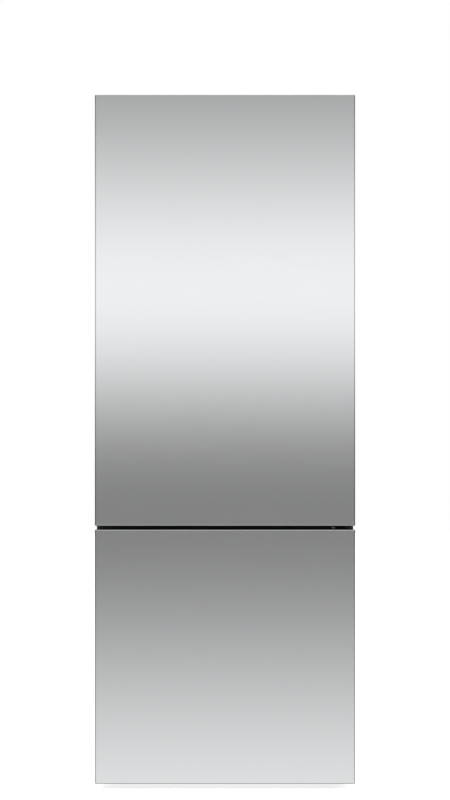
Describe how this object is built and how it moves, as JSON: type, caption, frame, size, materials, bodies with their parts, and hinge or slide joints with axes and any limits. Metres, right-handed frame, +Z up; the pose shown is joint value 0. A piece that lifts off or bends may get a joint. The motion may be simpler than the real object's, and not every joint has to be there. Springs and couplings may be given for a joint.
{
  "type": "bottom freezer refrigerator",
  "caption": "Upright refrigerator with a tall fridge door over a freezer door, brushed steel fronts without handles, shelves, drawers and cooling unit inside.",
  "frame": {"origin": "on the floor, under the middle of the cabinet and doors", "axes": "+Z up, the doors face -Y, +X to the right as seen from the front"},
  "size_m": [0.635, 0.695, 1.695],
  "materials": {
    "brushed_steel": "fine horizontal brushed stainless steel",
    "painted_cabinet_steel": "grey powder coat with a fine pebble",
    "zinc_coated_steel": "hot-dip zinc coating, dull",
    "dark_steel": "black powder coat, satin",
    "white_liner": "vacuum-formed polystyrene, satin",
    "dark_plastic": "moulded ABS, fine grain",
    "grey_plastic": "moulded ABS, fine grain",
    "insulation_foam": "foamed polyurethane, sealed inside",
    "gasket_rubber": "soft extruded PVC",
    "clear_plastic": "clear injection-moulded polystyrene",
    "frosted_plastic": "frosted injection-moulded polystyrene",
    "shelf_glass": "tempered glass, polished edge",
    "coil_aluminium": "bare fins and tube",
    "black_enamel": "black stoved enamel",
    "hard_rubber": "moulded hard rubber"
  },
  "bodies": {
    "cabinet": {"cabinet_shell": "painted_cabinet_steel", "cabinet_foam": "insulation_foam", "fridge_liner": "white_liner", "freezer_liner": "white_liner", "divider_trim": "dark_steel", "base_frame": "zinc_coated_steel", "rear_panel": "zinc_coated_steel", "compressor_cover": "dark_plastic", "top_hinge": "zinc_coated_steel", "middle_hinge": "dark_steel", "bottom_hinge": "dark_steel", "hinge_cover": "grey_plastic", "shelf_glass_lower": "shelf_glass", "shelf_glass_middle": "shelf_glass", "shelf_glass_upper": "shelf_glass", "crisper_cover": "shelf_glass", "air_duct": "white_liner", "light_lens": "frosted_plastic", "control_panel": "dark_plastic", "evaporator_cover": "white_liner", "evaporator": "coil_aluminium", "ice_tray_frame": "white_liner", "compressor": "black_enamel", "condenser": "black_enamel", "drain_pan": "grey_plastic", "control_box": "dark_plastic"},
    "upper_door": {"upper_door_skin": "brushed_steel", "upper_door_top_cap": "dark_plastic", "upper_door_bottom_cap": "dark_plastic", "upper_door_grip": "dark_plastic", "upper_door_foam": "insulation_foam", "upper_door_liner": "white_liner", "upper_door_gasket": "gasket_rubber"},
    "lower_door": {"lower_door_skin": "brushed_steel", "lower_door_top_cap": "dark_plastic", "lower_door_bottom_cap": "dark_plastic", "lower_door_grip": "dark_plastic", "lower_door_foam": "insulation_foam", "lower_door_liner": "white_liner", "lower_door_gasket": "gasket_rubber"},
    "bottle_bin": {"bottle_bin": "clear_plastic"},
    "middle_bin": {"middle_bin": "clear_plastic"},
    "dairy_bin": {"dairy_bin": "clear_plastic"},
    "dairy_lid": {"dairy_lid": "frosted_plastic"},
    "humidity_slider_left": {"humidity_slider_left": "dark_plastic"},
    "humidity_slider_right": {"humidity_slider_right": "dark_plastic"},
    "crisper_left": {"crisper_left": "clear_plastic"},
    "crisper_right": {"crisper_right": "clear_plastic"},
    "control_button_1": {"control_button_1": "grey_plastic"},
    "control_button_2": {"control_button_2": "grey_plastic"},
    "freezer_drawer_bottom": {"freezer_drawer_bottom": "frosted_plastic"},
    "freezer_drawer_middle": {"freezer_drawer_middle": "frosted_plastic"},
    "freezer_drawer_top": {"freezer_drawer_top": "frosted_plastic"},
    "evaporator_fan": {"evaporator_fan": "dark_plastic"},
    "ice_tray": {"ice_tray": "frosted_plastic"},
    "condenser_fan": {"condenser_fan": "dark_plastic"},
    "rear_roller_left": {"rear_roller_left": "hard_rubber"},
    "rear_roller_right": {"rear_roller_right": "hard_rubber"},
    "levelling_foot_left": {"levelling_foot_left": "dark_plastic"},
    "levelling_foot_right": {"levelling_foot_right": "dark_plastic"}
  },
  "joints": [
    {"name": "upper_door_hinge", "type": "hinge", "parent": "cabinet", "child": "upper_door", "pos_m": [0.2975, -0.3075, 1.1695], "axis": [0, 0, 1], "range_deg": [0, 115]},
    {"name": "lower_door_hinge", "type": "hinge", "parent": "cabinet", "child": "lower_door", "pos_m": [0.2975, -0.3075, 0.325], "axis": [0, 0, 1], "range_deg": [0, 115]},
    {"name": "bottle_bin_lift", "type": "slide", "parent": "upper_door", "child": "bottle_bin", "axis": [0, 0, 1], "range_m": [0, 0.022]},
    {"name": "middle_bin_lift", "type": "slide", "parent": "upper_door", "child": "middle_bin", "axis": [0, 0, 1], "range_m": [0, 0.022]},
    {"name": "dairy_bin_lift", "type": "slide", "parent": "upper_door", "child": "dairy_bin", "axis": [0, 0, 1], "range_m": [0, 0.022]},
    {"name": "dairy_lid_hinge", "type": "hinge", "parent": "dairy_bin", "child": "dairy_lid", "pos_m": [0, -0.2715, 1.471], "axis": [1, 0, 0], "range_deg": [0, 85]},
    {"name": "humidity_slider_left_slide", "type": "slide", "parent": "cabinet", "child": "humidity_slider_left", "axis": [1, 0, 0], "range_m": [-0.02, 0.02]},
    {"name": "humidity_slider_right_slide", "type": "slide", "parent": "cabinet", "child": "humidity_slider_right", "axis": [1, 0, 0], "range_m": [-0.02, 0.02]},
    {"name": "crisper_left_slide", "type": "slide", "parent": "cabinet", "child": "crisper_left", "axis": [0, -1, 0], "range_m": [0, 0.038]},
    {"name": "crisper_right_slide", "type": "slide", "parent": "cabinet", "child": "crisper_right", "axis": [0, -1, 0], "range_m": [0, 0.038]},
    {"name": "control_button_1_press", "type": "slide", "parent": "cabinet", "child": "control_button_1", "axis": [0, 0, 1], "range_m": [0, 0.001], "stiffness_N_per_m": 400, "springref_m": -0.0005},
    {"name": "control_button_2_press", "type": "slide", "parent": "cabinet", "child": "control_button_2", "axis": [0, 0, 1], "range_m": [0, 0.001], "stiffness_N_per_m": 400, "springref_m": -0.0005},
    {"name": "freezer_drawer_bottom_slide", "type": "slide", "parent": "cabinet", "child": "freezer_drawer_bottom", "axis": [0, -1, 0], "range_m": [0, 0.043]},
    {"name": "freezer_drawer_middle_slide", "type": "slide", "parent": "cabinet", "child": "freezer_drawer_middle", "axis": [0, -1, 0], "range_m": [0, 0.043]},
    {"name": "freezer_drawer_top_slide", "type": "slide", "parent": "cabinet", "child": "freezer_drawer_top", "axis": [0, -1, 0], "range_m": [0, 0.043]},
    {"name": "ice_tray_twist", "type": "hinge", "parent": "cabinet", "child": "ice_tray", "pos_m": [-0.2, -0.096, 0.573], "axis": [0, 1, 0], "range_deg": [0, 120]},
    {"name": "evaporator_fan_spin", "type": "hinge", "parent": "cabinet", "child": "evaporator_fan", "pos_m": [0, 0.21, 0.54], "axis": [0, 1, 0], "continuous": true},
    {"name": "condenser_fan_spin", "type": "hinge", "parent": "cabinet", "child": "condenser_fan", "pos_m": [0.033, 0.225, 0.132], "axis": [1, 0, 0], "continuous": true},
    {"name": "rear_roller_left_spin", "type": "hinge", "parent": "cabinet", "child": "rear_roller_left", "pos_m": [-0.27, 0.29, 0.014], "axis": [1, 0, 0], "continuous": true},
    {"name": "rear_roller_right_spin", "type": "hinge", "parent": "cabinet", "child": "rear_roller_right", "pos_m": [0.27, 0.29, 0.014], "axis": [1, 0, 0], "continuous": true},
    {"name": "levelling_foot_left_turn", "type": "hinge", "parent": "cabinet", "child": "levelling_foot_left", "pos_m": [-0.25, -0.225, 0.015], "axis": [0, 0, 1], "continuous": true},
    {"name": "levelling_foot_right_turn", "type": "hinge", "parent": "cabinet", "child": "levelling_foot_right", "pos_m": [0.25, -0.225, 0.015], "axis": [0, 0, 1], "continuous": true}
  ]
}
